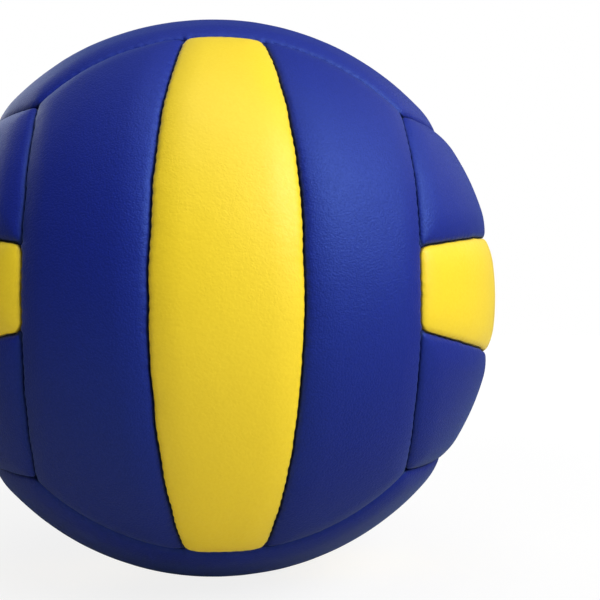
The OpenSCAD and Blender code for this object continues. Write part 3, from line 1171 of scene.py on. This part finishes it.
# %% Stitching tree
THREAD_SIDES = 6
BOW_STEPS = 6
BOW_SINK = -0.8
STITCHING = {
    "Geometry": SHAPE,
    "Thread radius": ball_r - THREAD_DEPTH,
    "Seam wander": SEAM_WANDER,
    "Strand width": 0.4 * MM,
    "Stitch pitch": STITCH_PITCH,
    "Stitch width": 0.45 * MM,
    "Stitch reach": 0.9 * MM,
    "Material": FINISH,
}
stitching, inputs, outputs = new_tree("stitching", "GeometryNodeTree", STITCHING, Geometry=SHAPE)


def shape_node(kind, settings, **sources):
    """The first output of a node of the stitching tree, whose inputs are filled by name."""
    return wire(add_node(kind, tree=stitching, **settings), **sources)[0]


def round_bar(curve, width):
    radius = times(width, 0.5)
    ring = shape_node("GeometryNodeCurvePrimitiveCircle", {}, Resolution=THREAD_SIDES, Radius=radius)
    return shape_node("GeometryNodeCurveToMesh", {}, Curve=curve, Profile_Curve=ring, Fill_Caps=True)


ray = read_fact(stitching, "ray", "FLOAT_VECTOR")
sewn = plus(stretch(ray, inputs["Thread radius"]), wander(ray, inputs["Seam wander"]))
line = add_node("GeometryNodeMeshToCurve", move_points(inputs["Geometry"], sewn)).outputs[0]
strand = round_bar(line, inputs["Strand width"])

reach, width = inputs["Stitch reach"], inputs["Stitch width"]
sink = times(width, BOW_SINK)
ends = {"Start": xyz(times(reach, -1.0), 0.0, sink), "End": xyz(reach, 0.0, sink)}
top = xyz(0.0, 0.0, width)
bow = shape_node("GeometryNodeCurveQuadraticBezier", {}, Resolution=BOW_STEPS, Middle=top, **ends)
stitch = round_bar(bow, width)

marks = shape_node("GeometryNodeResampleCurve", {"mode": "LENGTH"}, Curve=line, Length=inputs["Stitch pitch"])
square = calc("CROSS_PRODUCT", stitching.nodes.new("GeometryNodeInputTangent").outputs[0], ray)
align = "FunctionNodeAlignRotationToVector"
upright = shape_node(align, {"axis": "Z"}, Vector=ray)
turned = shape_node(align, {"axis": "X", "pivot_axis": "Z"}, Rotation=upright, Vector=square)
stitches = shape_node("GeometryNodeInstanceOnPoints", {}, Points=marks, Instance=stitch, Rotation=turned)
end_tree(join_shapes(strand, stitches), inputs, outputs)
print(len(stitching.nodes), "nodes sew the ball")

# %% Thread
PLY_SCALE = 4200.0


def thread_material(name, dark, light):
    material, shader = new_material(name, roughness=0.5, Sheen_Weight=0.2)
    plies = noise(object_place(material.node_tree), PLY_SCALE)
    wire(shader, Base_Color=mix_colour(plies, dark, light))
    bump(shader, plies, distance=0.1 * MM)
    return material


NAVY_THREAD = thread_material("waxed navy thread", (0.004, 0.006, 0.03, 1), (0.03, 0.04, 0.12, 1))
sewing = place_object("seam_stitching", line_mesh)
grow(sewing, stitching, Material=NAVY_THREAD)
hand_in(sewing, "seam_thread")
print(triangles(sewing), "triangles in the thread")

# %% [markdown]
# ## The light and the floor
#
# A large soft lamp stands to the upper right of the camera, as the shading of the yellow strips
# shows. Weaker ones behind the ball on both sides and above it give the right edge its pale sheen and
# light the back, and a faint even sky does the rest. The floor and the sky are white for the camera
# alone. What the floor throws back onto the ball is warm, which keeps the lower blue as dark as in
# the photograph, and dimmer still in reflections. The floor takes the ball's shadow and turns wholly
# white further out, so no horizon shows. Seen from below it is clear.

# %% Light, sky and floor
LAMPS = [
    ("key lamp", (0.86, -0.82, 0.86), 1.1, 21.5),
    ("rim lamp", (1.1, 0.7, 0.8), 1.0, 1.7),
    ("top lamp", (-0.1, -0.5, 1.4), 1.0, 5.5),
    ("back lamp", (-1.0, 1.2, 0.6), 1.0, 7.0),
]
SKY_STRENGTH = 0.10
WHITE = (1, 1, 1, 1)
SEEN_GREY = (0.8, 0.8, 0.8, 1)
BOUNCE = (0.86, 0.82, 0.60, 1)
REFLECTED_SHARE = 0.3
FLOOR_GLOW = 1.05
NEAR_WHITENESS = 0.80
NEAR_RADII, FAR_RADII = 2, 8
FLOOR_HALF_WIDTH = 6


def soft_lamp(name, place, size, watts):
    lamp = bpy.data.objects.new(name, bpy.data.lights.new(name, "AREA"))
    lamp.data.shape = "DISK"
    lamp.data.size = size
    lamp.data.energy = watts
    lamp.location = place
    lamp.rotation_euler = (-Vector(place)).to_track_quat("-Z", "Y").to_euler()
    bpy.context.scene.collection.objects.link(lamp)


def make_sky():
    world = bpy.data.worlds.new("sky")
    bpy.context.scene.world = world
    world.use_nodes = True
    background = world.node_tree.nodes["Background"]
    seen = world.node_tree.nodes.new("ShaderNodeLightPath").outputs["Is Camera Ray"]
    wire(background, Color=WHITE, Strength=fit_range(seen, 0.0, 1.0, SKY_STRENGTH))


def make_floor(height):
    mesh = bpy.data.meshes.new("floor")
    corners = [(-1, -1), (1, -1), (1, 1), (-1, 1)]
    points = [(x * FLOOR_HALF_WIDTH, y * FLOOR_HALF_WIDTH, height) for x, y in corners]
    mesh.from_pydata(points, [], [(0, 1, 2, 3)])
    floor = place_object("floor", mesh)
    material = bpy.data.materials.new("white floor")
    material.use_nodes = True
    tree = material.node_tree
    path = tree.nodes.new("ShaderNodeLightPath").outputs
    reflected = tuple(REFLECTED_SHARE * part for part in BOUNCE[:3]) + (1,)
    bounce = mix_colour(path["Is Glossy Ray"], BOUNCE, reflected)
    matt = add_node("ShaderNodeBsdfDiffuse", mix_colour(path["Is Camera Ray"], bounce, SEEN_GREY))
    white = add_node("ShaderNodeEmission", WHITE, FLOOR_GLOW, tree=tree)
    away = add_node("ShaderNodeVectorMath", object_place(tree), operation="LENGTH").outputs[1]
    whiteness = fit_range(away, NEAR_RADII * ball_r, FAR_RADII * ball_r, NEAR_WHITENESS)
    seen = times(path["Is Camera Ray"], whiteness)
    both = add_node("ShaderNodeMixShader", seen, matt.outputs[0], white.outputs[0])
    below = tree.nodes.new("ShaderNodeNewGeometry").outputs["Backfacing"]
    clear = tree.nodes.new("ShaderNodeBsdfTransparent")
    surface = add_node("ShaderNodeMixShader", below, both.outputs[0], clear.outputs[0])
    wire(tree.nodes["Material Output"], Surface=surface.outputs[0])
    mesh.materials.append(material)


for lamp in LAMPS:
    soft_lamp(*lamp)
make_sky()
make_floor(cad_box[0].z)
bpy.context.scene.view_settings.view_transform = "Standard"
print("Four lamps, a sky and a floor")
